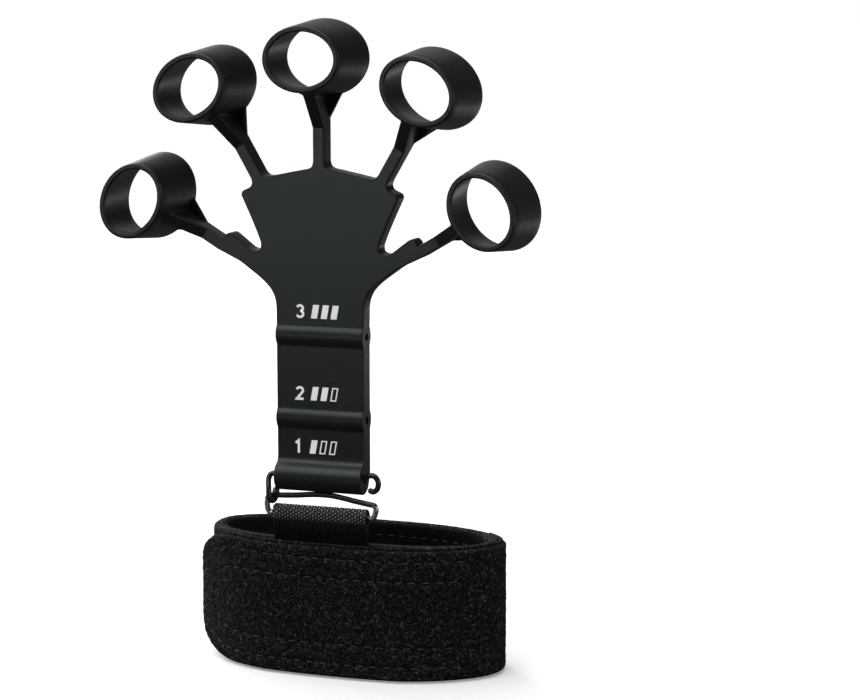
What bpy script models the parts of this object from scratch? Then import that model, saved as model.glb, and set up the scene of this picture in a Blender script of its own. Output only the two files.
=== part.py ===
"""Finger exerciser for hand therapy.

A silicone moulding (palm plate, ribbed stem, five arms, five finger loops) hangs on a wire latch,
a wire ring and a webbing loop from a hook-and-loop wrist strap.

Frame: +Z up along the stem, -Y is the front face of the moulding, +X to the right.
The strap's lower edge stands on z = 0. Depths below are measured from the moulding's front face,
and the empty that holds every piece moves them so that the whole depth is centred on y = 0.
Lengths are in millimetres and angles in degrees; make_object() turns millimetres into metres.
"""

import math

import bmesh
import bpy
from mathutils import Vector

MM = 0.001
GAP = 0.3            # clearance between separate pieces
FRONT_FACE = -11.05  # the moulding's front face in the finished frame

# Silicone moulding
PLATE_BACK = 6.3     # the plate and the arms run from y = 0 to here
STEM_BACK = 6.0
STEM_HALF_WIDTH = 13.5
EDGE_ROUND = 0.6
ARM_WIDTH = 3.5
HOLE_RADIUS = 1.25

# Stem: flex planes and sleeves, as heights
STEM_BOTTOM = 60.0
FLEX_LOW = 73.9
FLEX_HIGH = 93.5
LOW_SLEEVE = (0.7, 60.7, 4.5)        # y, z, radius
MID_SLEEVE = (2.9, 78.4, 4.1)
HIGH_SLEEVE = (2.9, 103.6, 4.1)

# Right half of the palm plate's outline as (x, z), from the stem up to the middle arm's root
PALM_HALF = [
    (13.5, 93.65), (13.5, 112.2), (13.9, 115.0), (15.0, 117.4), (17.0, 119.6), (19.6, 121.5),
    (25.3, 125.2), (32.1, 128.4), (30.4, 131.4), (30.3, 132.6), (29.2, 133.6), (28.1, 133.4),
    (25.3, 131.3), (22.4, 129.0), (20.3, 128.5), (18.7, 129.1), (18.5, 130.8), (19.8, 134.3),
    (22.2, 139.8), (24.7, 145.1), (24.3, 146.3), (21.7, 147.5), (21.1, 148.6), (21.4, 149.9),
    (22.45, 151.9), (19.4, 153.65), (18.5, 151.9), (17.4, 150.9), (15.8, 150.8), (10.1, 152.0),
    (5.6, 152.9), (3.3, 153.3), (2.1, 154.0), (1.75, 155.2),
]

# Fingers: name, loop centre x and z, tilt of the arm from the vertical, loop centre to arm root
FINGERS = [
    ("thumb", -54.1, 143.6, -59.0, 26.3),
    ("index", -35.1, 177.2, -30.0, 28.0),
    ("middle", 0.0, 185.8, 0.0, 30.3),
    ("ring", 35.1, 177.2, 30.0, 28.0),
    ("little", 54.1, 143.6, 59.0, 26.3),
]

# Finger loop: a tapered oval tube, narrow end in front
NECK = 20.4          # loop centre to the bend line
LOOP_FRONT = -14.4
LOOP_BACK = 7.2
LOOP_HALF_FRONT = (11.75, 9.6)       # across the arm, along the arm
LOOP_HALF_BACK = (13.85, 11.5)
LOOP_WALL = 1.75
LOOP_SEGMENTS = 36
RIM_ROUND = 0.5

# Wire buckle
WIRE = 0.85          # wire radius
RING_LOW = 49.7
RING_HIGH = 54.4
RING_HALF = 15.55    # centre to the start of each rounded end
WEB_HALF_WIDTH = 15.0
WEB_THICK = 1.1
WEB_PIVOT = 43.6
WEB_TAIL_BOTTOM = 20.0

# Wrist strap: a flattened oval band
STRAP_CENTRE = (3.8, 19.1)
STRAP_HALF = (45.8, 17.4)            # outer face of the pile layer
STRAP_POWER = 2.4
STRAP_TOP = 40.6
STRAP_STEPS = 60
PILE = (0.0, -1.0)                   # offsets from the pile's outer face
FOAM = (-1.25, -3.05)
LINING = (-3.3, -4.1)
FLAP_THICK = 2.1
FLAP_START = -8.0                    # angles round the band
FLAP_END = -172.0
FLAP_LOW = 0.2
FLAP_HIGH = 41.3
FLAP_CORNER = 13.0
FLAP_GAPS = (0.6, 4.3, 1.6)          # to the pile: right end, front, left end
HOOK_THICK = 0.9


# ---------------------------------------------------------------- objects

def clear_scene():
    for obj in list(bpy.data.objects):
        bpy.data.objects.remove(obj, do_unlink=True)


def make_material(name, color, roughness, metallic=0.0):
    mat = bpy.data.materials.new(name)
    mat.use_nodes = True
    shader = mat.node_tree.nodes["Principled BSDF"]
    shader.inputs["Base Color"].default_value = (*color, 1.0)
    shader.inputs["Roughness"].default_value = roughness
    shader.inputs["Metallic"].default_value = metallic
    return mat


def link(obj):
    """Adds an object to the scene under the empty that carries the whole assembly."""
    bpy.context.scene.collection.objects.link(obj)
    obj.parent = bpy.data.objects.get("finger_exerciser")
    return obj


def make_base():
    base = bpy.data.objects.new("finger_exerciser", None)
    base.location = (0.0, FRONT_FACE * MM, 0.0)
    bpy.context.scene.collection.objects.link(base)


def make_object(name, points, faces, mat, origin=(0.0, 0.0, 0.0)):
    """A mesh object from points in millimetres, with its origin on a chosen point."""
    start = Vector(origin)
    mesh = bpy.data.meshes.new(name)
    mesh.from_pydata([(Vector(p) - start) * MM for p in points], [], faces)
    grid = bmesh.new()
    grid.from_mesh(mesh)
    bmesh.ops.recalc_face_normals(grid, faces=grid.faces)
    grid.to_mesh(mesh)
    grid.free()
    mesh.shade_smooth()
    mesh.set_sharp_from_angle(angle=math.radians(35.0))
    if mat:
        mesh.materials.append(mat)
    obj = bpy.data.objects.new(name, mesh)
    obj.location = start * MM
    return link(obj)


def as_cutter(obj):
    obj.hide_render = True
    obj.display_type = "WIRE"
    return obj


def combine(obj, other, operation):
    mod = obj.modifiers.new(other.name, "BOOLEAN")
    mod.operation = operation
    mod.solver = "EXACT"
    mod.object = as_cutter(other)


def round_edges(obj, width, angle=30.0):
    mod = obj.modifiers.new("round", "BEVEL")
    mod.width = width * MM
    mod.segments = 2
    mod.limit_method = "ANGLE"
    mod.angle_limit = math.radians(angle)


# ---------------------------------------------------------------- shapes

def prism(name, outline, front, back, mat, origin=(0.0, 0.0, 0.0)):
    """A flat plate: an outline of (x, z) points, thickened along Y."""
    count = len(outline)
    points = [(x, front, z) for x, z in outline]
    points += [(x, back, z) for x, z in outline]
    faces = [tuple(range(count)), tuple(range(count, 2 * count))]
    for i in range(count):
        j = (i + 1) % count
        faces.append((i, j, count + j, count + i))
    return make_object(name, points, faces, mat, origin)


def extrude_x(name, profile, half_width, mat, origin=(0.0, 0.0, 0.0)):
    """A profile of (y, z) points, swept along X over both half widths."""
    count = len(profile)
    points = [(-half_width, y, z) for y, z in profile]
    points += [(half_width, y, z) for y, z in profile]
    faces = [tuple(range(count)), tuple(range(count, 2 * count))]
    for i in range(count):
        j = (i + 1) % count
        faces.append((i, j, count + j, count + i))
    return make_object(name, points, faces, mat, origin)


def circle(cy, cz, radius, steps=24, start=0.0, sweep=360.0):
    last = steps if sweep >= 360.0 else steps - 1
    angles = [math.radians(start + sweep * i / last) for i in range(steps)]
    return [(cy + radius * math.cos(a), cz + radius * math.sin(a)) for a in angles]


def skin(name, rings, mat, closed, origin=(0.0, 0.0, 0.0)):
    """Bridges successive rings of points; closed joins the last ring to the first."""
    count = len(rings[0])
    points = [p for ring in rings for p in ring]
    faces = []
    for r in range(len(rings) if closed else len(rings) - 1):
        a = r * count
        b = ((r + 1) % len(rings)) * count
        for i in range(count):
            j = (i + 1) % count
            faces.append((a + i, a + j, b + j, b + i))
    if not closed:
        faces.append(tuple(range(count)))
        faces.append(tuple(range(len(points) - count, len(points))))
    return make_object(name, points, faces, mat, origin)


def curve_through(knots, steps):
    """Catmull-Rom points through the knots, ends included."""
    ends = [knots[0]] + list(knots) + [knots[-1]]
    path = []
    for i in range(len(knots) - 1):
        p0, p1, p2, p3 = (Vector(ends[i + k]) for k in range(4))
        for s in range(steps):
            t = s / steps
            path.append(0.5 * (2 * p1 + (p2 - p0) * t + (2 * p0 - 5 * p1 + 4 * p2 - p3) * t * t
                               + (3 * p1 - p0 - 3 * p2 + p3) * t ** 3))
    path.append(Vector(knots[-1]))
    return path


def wire(name, path, radius, mat, closed=False, sides=10, origin=(0.0, 0.0, 0.0)):
    """A round wire along a path, with the section carried along without twist."""
    count = len(path)
    rings = []
    side = None
    for i, point in enumerate(path):
        before = path[i - 1] if closed or i > 0 else path[i]
        after = path[(i + 1) % count] if closed or i < count - 1 else path[i]
        tangent = (after - before).normalized()
        if side is None:
            side = tangent.orthogonal().normalized()
            if closed:
                side = Vector((0.0, 1.0, 0.0))
        side = (side - tangent * side.dot(tangent)).normalized()
        other = tangent.cross(side)
        ring = []
        for k in range(sides):
            a = math.tau * k / sides
            ring.append(point + (side * math.cos(a) + other * math.sin(a)) * radius)
        rings.append(ring)
    return skin(name, rings, mat, closed, origin)


# ---------------------------------------------------------------- silicone moulding

def sleeve_on(obj, place, half_width):
    """Adds a tubular sleeve across the stem and drills its hole."""
    y, z, radius = place
    roll = extrude_x(obj.name + "_sleeve", circle(y, z, radius), half_width, None)
    combine(obj, roll, "UNION")
    hole = extrude_x(obj.name + "_hole", circle(y, z, HOLE_RADIUS, 16), half_width + 5.0, None)
    combine(obj, hole, "DIFFERENCE")


def stem_piece(name, low, high, sleeve, origin, mat):
    half = STEM_HALF_WIDTH
    outline = [(-half, low), (half, low), (half, high), (-half, high)]
    obj = prism(name, outline, 0.0, STEM_BACK, mat, origin)
    round_edges(obj, EDGE_ROUND)
    sleeve_on(obj, sleeve, half + 0.05)
    return obj


def palm_plate(mat):
    left = [(-x, z) for x, z in reversed(PALM_HALF)]
    obj = prism("palm_plate", PALM_HALF + left, 0.0, PLATE_BACK, mat, (0.0, STEM_BACK, FLEX_HIGH))
    round_edges(obj, EDGE_ROUND * 0.6, 50.0)
    sleeve_on(obj, HIGH_SLEEVE, STEM_HALF_WIDTH + 0.05)
    return obj


def oval(half, height, steps):
    """An oval ring in the loop's own frame: X across the arm, Z along it from the bend line."""
    across, along = half
    ring = []
    for i in range(steps):
        a = math.tau * i / steps
        ring.append((across * math.cos(a), height, NECK + along * math.sin(a)))
    return ring


def loop_half(y, inset):
    """Half sizes of the tapered oval at a depth, drawn in by an inset."""
    t = (y - LOOP_FRONT) / (LOOP_BACK - LOOP_FRONT)
    pairs = zip(LOOP_HALF_FRONT, LOOP_HALF_BACK)
    return tuple(a + (b - a) * t - inset for a, b in pairs)


def loop_mesh(mat):
    """Tube, gusset fin and corner web joined, with the origin on the bend line."""
    stations = [(LOOP_FRONT, RIM_ROUND), (LOOP_FRONT + RIM_ROUND, 0.0),
                (LOOP_BACK - RIM_ROUND, 0.0), (LOOP_BACK, RIM_ROUND)]
    rings = [oval(loop_half(y, inset), y, LOOP_SEGMENTS) for y, inset in stations]
    for y, inset in reversed(stations):
        rings.append(oval(loop_half(y, LOOP_WALL - inset), y, LOOP_SEGMENTS))
    origin = (0.0, PLATE_BACK, 0.0)
    tube = skin("loop_tube", rings, mat, True, origin)
    half = ARM_WIDTH / 2
    side = [(0.0, 0.15), (PLATE_BACK, 0.15), (PLATE_BACK, NECK - 10.6), (-8.3, NECK - 9.3),
            (-8.0, NECK - 10.2)]
    fin = extrude_x("loop_fin", side, half, None, origin)
    web = [(half - 0.1, 2.9), (6.1, NECK - 9.6), (0.0, NECK - 10.5), (-6.1, NECK - 9.6),
           (0.1 - half, 2.9)]
    corner = prism("loop_web", web, PLATE_BACK - 1.5, PLATE_BACK - 0.05, None, origin)
    combine(tube, fin, "UNION")
    combine(tube, corner, "UNION")
    graph = bpy.context.evaluated_depsgraph_get()
    mesh = bpy.data.meshes.new_from_object(tube.evaluated_get(graph))
    mesh.name = "finger_loop"
    mesh.shade_smooth()
    mesh.set_sharp_from_angle(angle=math.radians(35.0))
    for obj in (tube, fin, corner):
        bpy.data.objects.remove(obj, do_unlink=True)
    return mesh


def place_on_arm(obj, x, z, tilt, distance):
    """Puts an object's origin on the arm's line, that far from the loop's centre."""
    turn = math.radians(tilt)
    obj.location = (Vector((x, PLATE_BACK, z))
                    - Vector((math.sin(turn), 0.0, math.cos(turn))) * distance) * MM
    obj.rotation_euler = (0.0, turn, 0.0)


def fingers(mat):
    mesh = loop_mesh(mat)
    for name, x, z, tilt, root in FINGERS:
        length = root - NECK
        half = ARM_WIDTH / 2
        outline = [(-half, GAP / 2), (half, GAP / 2), (half, length - 0.15),
                   (-half, length - 0.15)]
        arm = prism("arm_" + name, outline, 0.0, PLATE_BACK, mat, (0.0, PLATE_BACK, 0.0))
        round_edges(arm, 0.35)
        place_on_arm(arm, x, z, tilt, root)
        loop = link(bpy.data.objects.new("loop_" + name, mesh))
        place_on_arm(loop, x, z, tilt, NECK)


# ---------------------------------------------------------------- wire buckle and webbing

def buckle_ring(mat):
    middle = (RING_LOW + RING_HIGH) / 2
    radius = (RING_HIGH - RING_LOW) / 2
    path = []
    for side, start in ((1.0, -90.0), (-1.0, 90.0)):
        for x, z in circle(0.0, 0.0, radius, 9, start, 180.0):
            path.append(Vector((side * RING_HALF + x, 0.0, middle + z)))
    return wire("buckle_ring", path, WIRE, mat, closed=True, origin=(0.0, 0.0, RING_LOW))


def latch_wire(mat):
    """Straight bar in the lowest sleeve, an eye round the ring's left end, a hook on the right."""
    y, z, _ = LOW_SLEEVE
    eye_x = -RING_HALF - (RING_HIGH - RING_LOW) / 2
    eye_z = (RING_LOW + RING_HIGH) / 2
    eye_r = 2.15
    eye = []
    for i, angle in enumerate((40.0, 100.0, 160.0, 215.0, 262.0)):
        a = math.radians(angle)
        rise = 0.12 * i * i
        eye.append((eye_x + eye_r * math.cos(a), eye_r * math.sin(a), eye_z + rise - 0.4))
    leg = [(-17.4, -1.9, 56.2), (-17.9, -0.6, 58.4), (-17.0, y - 0.1, z - 0.6), (-15.2, y, z),
           (-13.4, y, z)]
    hook = [(13.2, y, z), (14.7, y, z + 0.1), (16.3, y, z + 0.4), (17.7, y, z - 0.3),
            (18.3, y, z - 1.9), (17.9, y, z - 3.4), (16.8, y, z - 4.1), (15.8, y, z - 3.6)]
    path = curve_through(eye + leg, 4) + curve_through(hook, 4)
    return wire("latch_wire", path, WIRE, mat, origin=(eye_x, 0.0, eye_z))


def webbing_loop(mat):
    """Two plies sewn together, parting round the ring's lower bar."""
    inner = WIRE + GAP
    outer = inner + WEB_THICK
    ply = WEB_THICK + 0.05
    over = circle(0.0, RING_LOW, outer, 13, -12.0, 204.0)
    under = circle(0.0, WEB_PIVOT, ply, 7, 180.0, 180.0)
    skirt_left = [(-ply, WEB_PIVOT + 2.4)]
    skirt_right = [(ply, WEB_PIVOT + 2.4)]
    profile = over + skirt_left + under + skirt_right
    obj = extrude_x("webbing_loop", profile, WEB_HALF_WIDTH, mat, (0.0, 0.0, WEB_PIVOT))
    eye = circle(0.0, RING_LOW, inner, 13, -20.0, 220.0) + [(0.0, RING_LOW - 2.6)]
    hole = extrude_x("webbing_eye", eye, WEB_HALF_WIDTH + 5.0, None)
    combine(obj, hole, "DIFFERENCE")
    return obj


def webbing_tail(mat):
    top = WEB_PIVOT - WEB_THICK - 0.05 - GAP
    half = WEB_HALF_WIDTH
    outline = [(-half, WEB_TAIL_BOTTOM), (half, WEB_TAIL_BOTTOM), (half, top), (-half, top)]
    return prism("webbing_tail", outline, -WEB_THICK - 0.05, WEB_THICK + 0.05, mat)


# ---------------------------------------------------------------- wrist strap

def strap_point(angle, offset):
    """A point on the band's oval at an angle in degrees, moved outwards by an offset."""
    a = math.radians(angle)
    power = 2.0 / STRAP_POWER
    c, s = math.cos(a), math.sin(a)
    half_x, half_y = STRAP_HALF
    x = half_x * math.copysign(abs(c) ** power, c)
    y = half_y * math.copysign(abs(s) ** power, s)
    grow = STRAP_POWER - 1.0
    normal = Vector((math.copysign((abs(x) / half_x) ** grow, x) / half_x,
                     math.copysign((abs(y) / half_y) ** grow, y) / half_y))
    normal.normalize()
    return (STRAP_CENTRE[0] + x + normal.x * offset, STRAP_CENTRE[1] + y + normal.y * offset)


def band(name, offsets, low, high, mat):
    """A closed layer of the strap between two offsets."""
    outer, inner = offsets
    rings = []
    for offset, z in ((outer, low), (outer, high), (inner, high), (inner, low)):
        ring = []
        for i in range(STRAP_STEPS):
            x, y = strap_point(360.0 * i / STRAP_STEPS, offset)
            ring.append((x, y, z))
        rings.append(ring)
    return skin(name, rings, mat, True)


def flap_gap(share):
    """Gap to the pile layer: right end, over the webbing, left end."""
    right, front, left = FLAP_GAPS
    bulge = 0.5 - 0.5 * math.cos(math.tau * min(max((share - 0.08) / 0.84, 0.0), 1.0))
    base = right + (left - right) * share
    return base + (front - base) * min(1.0, 1.35 * bulge)


def flap_path(start, end, steps):
    """Points along the flap as (share, angle), with the distance walked so far."""
    path = []
    walked = 0.0
    last = None
    for i in range(steps + 1):
        share = start + (end - start) * i / steps
        angle = FLAP_START + (FLAP_END - FLAP_START) * share
        here = Vector(strap_point(angle, 0.0))
        walked += (here - last).length if last else 0.0
        last = here
        path.append((share, angle, walked))
    return path


def curved_panel(name, path, near, thick, low, high, corner, mat, origin=(0.0, 0.0, 0.0)):
    """A panel that follows the strap, with both corners of its far end rounded."""
    total = path[-1][2]
    rings = []
    for share, angle, walked in path:
        left = total - walked
        drop = 0.0
        if left < corner:
            drop = corner - math.sqrt(max(corner ** 2 - (corner - left) ** 2, 0.0))
        drop = min(drop, (high - low) / 2 - 4.0)
        gap = near(share)
        ring = []
        for offset, z in ((gap, low + drop), (gap + thick, low + drop), (gap + thick, high - drop),
                          (gap, high - drop)):
            x, y = strap_point(angle, offset)
            ring.append((x, y, z))
        rings.append(ring)
    return skin(name, rings, mat, False, origin)


def strap(pile, foam, lining, hook):
    band("strap_pile", PILE, 0.0, STRAP_TOP, pile)
    band("strap_foam", FOAM, 0.4, STRAP_TOP - 0.4, foam)
    band("strap_lining", LINING, 0.0, STRAP_TOP, lining)
    pivot = strap_point(FLAP_START, FLAP_GAPS[0] + FLAP_THICK / 2)
    curved_panel("strap_flap", flap_path(0.0, 1.0, 44), flap_gap, FLAP_THICK, FLAP_LOW, FLAP_HIGH,
                 FLAP_CORNER, pile, (*pivot, 0.0))
    curved_panel("hook_patch", flap_path(0.80, 0.97, 12), lambda s: flap_gap(s) - GAP - HOOK_THICK,
                 HOOK_THICK, 5.0, 36.0, 6.0, hook, (*pivot, 0.0))


# ---------------------------------------------------------------- assembly

def build():
    clear_scene()
    make_base()
    silicone = make_material("silicone", (0.012, 0.012, 0.013), 0.5)
    wire_metal = make_material("wire", (0.03, 0.03, 0.032), 0.3, 1.0)
    web = make_material("webbing", (0.015, 0.015, 0.017), 0.8)
    pile = make_material("pile", (0.012, 0.012, 0.013), 0.95)
    foam = make_material("foam", (0.03, 0.03, 0.03), 0.9)
    lining = make_material("lining", (0.02, 0.02, 0.022), 0.7)
    hook = make_material("hook", (0.01, 0.01, 0.011), 0.6)

    stem_piece("stem_low", STEM_BOTTOM, FLEX_LOW - GAP / 2, LOW_SLEEVE,
               (0.0, LOW_SLEEVE[0], LOW_SLEEVE[1]), silicone)
    stem_piece("stem_mid", FLEX_LOW + GAP / 2, FLEX_HIGH - GAP / 2, MID_SLEEVE,
               (0.0, STEM_BACK, FLEX_LOW), silicone)
    palm_plate(silicone)
    fingers(silicone)
    buckle_ring(wire_metal)
    latch_wire(wire_metal)
    webbing_loop(web)
    webbing_tail(web)
    strap(pile, foam, lining, hook)


build()
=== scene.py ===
"""Looks for the finger exerciser: silicone hand, wire latch, webbing and a hook-and-loop wrist strap.

Lengths are in millimetres. Depths are measured from the moulding's front face, and add_mesh() moves
them into the frame and turns millimetres into metres.
"""

import math

import bmesh
import bpy
import numpy as np
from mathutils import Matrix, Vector


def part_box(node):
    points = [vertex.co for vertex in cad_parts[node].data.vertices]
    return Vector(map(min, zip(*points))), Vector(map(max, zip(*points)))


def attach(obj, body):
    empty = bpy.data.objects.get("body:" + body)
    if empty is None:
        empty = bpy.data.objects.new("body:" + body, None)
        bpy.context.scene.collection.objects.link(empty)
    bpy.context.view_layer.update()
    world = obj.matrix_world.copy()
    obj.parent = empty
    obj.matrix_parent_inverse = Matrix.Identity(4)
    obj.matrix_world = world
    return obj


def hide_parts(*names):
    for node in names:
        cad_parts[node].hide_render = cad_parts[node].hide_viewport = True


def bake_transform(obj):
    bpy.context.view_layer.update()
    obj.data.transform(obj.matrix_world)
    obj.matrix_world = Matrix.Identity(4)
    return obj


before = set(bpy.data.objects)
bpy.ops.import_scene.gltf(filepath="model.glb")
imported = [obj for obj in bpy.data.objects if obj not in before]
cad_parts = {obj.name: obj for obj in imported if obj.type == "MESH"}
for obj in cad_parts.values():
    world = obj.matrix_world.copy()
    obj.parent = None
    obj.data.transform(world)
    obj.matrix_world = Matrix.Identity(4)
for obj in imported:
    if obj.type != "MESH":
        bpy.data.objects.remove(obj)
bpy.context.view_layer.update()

MM = 0.001
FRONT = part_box("arm_middle")[0].y / MM       # the moulding's front face in the frame

# Silicone moulding
PLATE_BACK = 6.3
STEM_BACK = 6.0
STEM_HALF = 13.8
ARM_HALF = 1.75
ROUND = 0.38                 # edge rounding
SUPPORT = 0.16               # flat rim beside each rounded edge, which keeps large faces flat
HOLE_RADIUS = 1.25
LOW_SLEEVE = (0.7, 60.7, 4.5)                # y, z, radius
MID_SLEEVE = (2.9, 78.4, 4.1)
HIGH_SLEEVE = (2.9, 103.6, 4.1)
STEM_SPLIT = 85.0
STEM_TOP = 108.5

# Fingers: name, loop centre x and z, tilt of the arm from the vertical, loop centre to arm root
FINGERS = [
    ("thumb", -54.1, 143.6, -59.0, 26.3),
    ("index", -35.1, 177.2, -30.0, 28.0),
    ("middle", 0.0, 185.8, 0.0, 30.3),
    ("ring", 35.1, 177.2, 30.0, 28.0),
    ("little", 54.1, 143.6, 59.0, 26.3),
]
NECK = 20.4                  # loop centre to the bend line
ARM_END = 22.2               # loop centre to the seam between arm and loop
LOOP_FRONT = -14.4
LOOP_BACK = 7.2
LOOP_HALF_FRONT = (11.75, 9.6)
LOOP_HALF_BACK = (13.85, 11.5)
LOOP_WALL = 1.75

# Right half of the plate's outline in runs; between them lie the roots of the little, ring and middle arms
PLATE_RUNS = [
    [(13.8, 112.2), (14.3, 115.0), (15.5, 117.3), (17.5, 119.4), (19.9, 121.3), (25.3, 125.2)],
    [(30.3, 132.6), (29.2, 133.6), (28.1, 133.4), (25.3, 131.3), (22.4, 129.0), (20.3, 128.5),
     (18.7, 129.1), (18.5, 130.8), (19.8, 134.3), (22.2, 139.8), (24.7, 145.1), (24.3, 146.3),
     (21.7, 147.5), (21.1, 148.6), (21.4, 149.9)],
    [(18.5, 151.9), (17.4, 150.9), (15.8, 150.8), (10.1, 152.0), (5.6, 152.9), (3.3, 153.3),
     (2.1, 154.0)],
]

# Wire buckle and webbing
WIRE = 0.85
RING_LOW = 49.7
RING_HIGH = 54.4
RING_HALF = 15.55
WEB_HALF = 15.0
WEB_THICK = 1.1
WEB_TAIL = 20.3
WEB_RIBS = 33

# Wrist strap
STRAP_CENTRE = (3.8, 19.1)
STRAP_HALF = (45.8, 17.4)
STRAP_POWER = 2.4
STRAP_TOP = 40.6
FLAP_THICK = 2.1
FLAP_START = -8.0
FLAP_END = -172.0
FLAP_LOW = 0.2
FLAP_HIGH = 41.3
FLAP_CORNER = (19.0, 15.0)    # along the strap and across it
FLAP_GAPS = (0.6, 4.3, 1.6)
FLAP_ROOT = 32.0             # angle where the flap is sewn to the band

rng = np.random.default_rng(7)


# ---------------------------------------------------------------- mesh helpers

def new_mesh(name, points, faces):
    mesh = bpy.data.meshes.new(name)
    mesh.from_pydata(np.asarray(points, float).tolist(), [], faces)
    grid = bmesh.new()
    grid.from_mesh(mesh)
    bmesh.ops.recalc_face_normals(grid, faces=grid.faces)
    grid.to_mesh(mesh)
    grid.free()
    return mesh


def link(obj):
    bpy.context.scene.collection.objects.link(obj)
    return obj


def add_mesh(name, points, faces, materials, angle=35.0):
    """A piece from points in millimetres, shaded smooth below the given angle."""
    points = np.array(points, float)
    points[:, 1] += FRONT
    mesh = new_mesh(name, points * MM, faces)
    mesh.shade_smooth()
    if angle:
        mesh.set_sharp_from_angle(angle=math.radians(angle))
    for mat in materials:
        mesh.materials.append(mat)
    return link(bpy.data.objects.new(name, mesh))


def grid_faces(rows, cols, close_rows=False, close_cols=False, start=0):
    r = np.arange(rows if close_rows else rows - 1)
    c = np.arange(cols if close_cols else cols - 1)
    rr, cc = np.meshgrid(r, c, indexing="ij")
    r2, c2 = (rr + 1) % rows, (cc + 1) % cols
    quads = np.stack([rr * cols + cc, rr * cols + c2, r2 * cols + c2, r2 * cols + cc], axis=-1)
    return (quads.reshape(-1, 4) + start).tolist()


def loft(rings, close_rows=False):
    """Points and faces of closed rings bridged in order, with flat caps unless the rows close."""
    rings = np.asarray(rings, float)
    rows, cols = rings.shape[:2]
    faces = grid_faces(rows, cols, close_rows, True)
    if not close_rows:
        faces.append(list(range(cols)))
        faces.append(list(range((rows - 1) * cols, rows * cols)))
    return rings.reshape(-1, 3), faces


def boolean(base, tools, operation):
    """The mesh of base after EXACT booleans with the tools. All meshes are (points, faces) in millimetres."""
    temps = [link(bpy.data.objects.new("tmp", new_mesh("tmp", *part))) for part in [base] + tools]
    for tool in temps[1:]:
        mod = temps[0].modifiers.new("cut", "BOOLEAN")
        mod.operation = operation
        mod.solver = "EXACT"
        mod.object = tool
    graph = bpy.context.evaluated_depsgraph_get()
    mesh = bpy.data.meshes.new_from_object(temps[0].evaluated_get(graph))
    for obj in temps:
        bpy.data.objects.remove(obj, do_unlink=True)
    points = np.array([v.co for v in mesh.vertices])
    faces = [list(p.vertices) for p in mesh.polygons]
    bpy.data.meshes.remove(mesh)
    return points, faces


def smoothstep(x, low, high):
    t = np.clip((x - low) / (high - low), 0.0, 1.0)
    return t * t * (3.0 - 2.0 * t)


def fuzz(shape, passes=1, wrap=(False, False)):
    """A field of random heights, smoothed, with a standard deviation of 1."""
    field = rng.standard_normal(shape)
    for _ in range(passes):
        for axis in (0, 1):
            side = [(0, 0), (0, 0)]
            side[axis] = (1, 1)
            padded = np.pad(field, side, mode="wrap" if wrap[axis] else "edge")
            n = padded.shape[axis]
            field = (np.take(padded, range(0, n - 2), axis) + 2 * np.take(padded, range(1, n - 1), axis)
                     + np.take(padded, range(2, n), axis)) / 4
    return field / field.std()


# ---------------------------------------------------------------- materials

class Nodes:
    """A short way to wire a material's nodes."""

    def __init__(self, name):
        self.mat = bpy.data.materials.new(name)
        self.mat.use_nodes = True
        self.tree = self.mat.node_tree
        self.shader = self.tree.nodes["Principled BSDF"]
        coords = self.add("ShaderNodeTexCoord")
        scale = self.add("ShaderNodeVectorMath", operation="SCALE")
        self.tree.links.new(coords.outputs["Object"], scale.inputs[0])
        scale.inputs["Scale"].default_value = 1.0 / MM
        self.place = scale.outputs[0]          # position in millimetres

    def add(self, kind, **settings):
        node = self.tree.nodes.new(kind)
        for key, value in settings.items():
            setattr(node, key, value)
        return node

    def put(self, socket, value):
        if isinstance(value, bpy.types.NodeSocket):
            self.tree.links.new(value, socket)
        elif value is not None:
            socket.default_value = value

    def noise(self, scale, detail=2.0, rough=0.5, distortion=0.0, place=None):
        node = self.add("ShaderNodeTexNoise")
        self.put(node.inputs["Vector"], place or self.place)
        node.inputs["Scale"].default_value = scale
        node.inputs["Detail"].default_value = detail
        node.inputs["Roughness"].default_value = rough
        node.inputs["Distortion"].default_value = distortion
        return node.outputs["Fac"]

    def voronoi(self, scale, feature="F1", output="Distance", place=None):
        node = self.add("ShaderNodeTexVoronoi", feature=feature)
        self.put(node.inputs["Vector"], place or self.place)
        node.inputs["Scale"].default_value = scale
        return node.outputs[output]

    def math(self, operation, a, b=None, c=None, clamp=False):
        node = self.add("ShaderNodeMath", operation=operation, use_clamp=clamp)
        for socket, value in zip(node.inputs, (a, b, c)):
            self.put(socket, value)
        return node.outputs[0]

    def ramp(self, fac, low, high, to_low=0.0, to_high=1.0, smooth=True):
        node = self.add("ShaderNodeMapRange", interpolation_type="SMOOTHSTEP" if smooth else "LINEAR")
        self.put(node.inputs["Value"], fac)
        for key, value in (("From Min", low), ("From Max", high), ("To Min", to_low), ("To Max", to_high)):
            self.put(node.inputs[key], value)
        return node.outputs["Result"]

    def mix(self, fac, a, b):
        node = self.add("ShaderNodeMix", data_type="RGBA")
        self.put(node.inputs[0], fac)
        self.put(node.inputs[6], (*a, 1.0) if isinstance(a, tuple) else a)
        self.put(node.inputs[7], (*b, 1.0) if isinstance(b, tuple) else b)
        return node.outputs[2]

    def axis(self, name):
        node = self.add("ShaderNodeSeparateXYZ")
        self.put(node.inputs[0], self.place)
        return node.outputs[name]

    def bump(self, height, strength, distance_mm, before=None):
        node = self.add("ShaderNodeBump")
        node.inputs["Strength"].default_value = strength
        node.inputs["Distance"].default_value = distance_mm * MM
        self.put(node.inputs["Height"], height)
        if before is not None:
            self.put(node.inputs["Normal"], before)
        return node.outputs["Normal"]

    def finish(self, **values):
        for key, value in values.items():
            self.put(self.shader.inputs[key.replace("_", " ")], value)
        return self.mat


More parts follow.
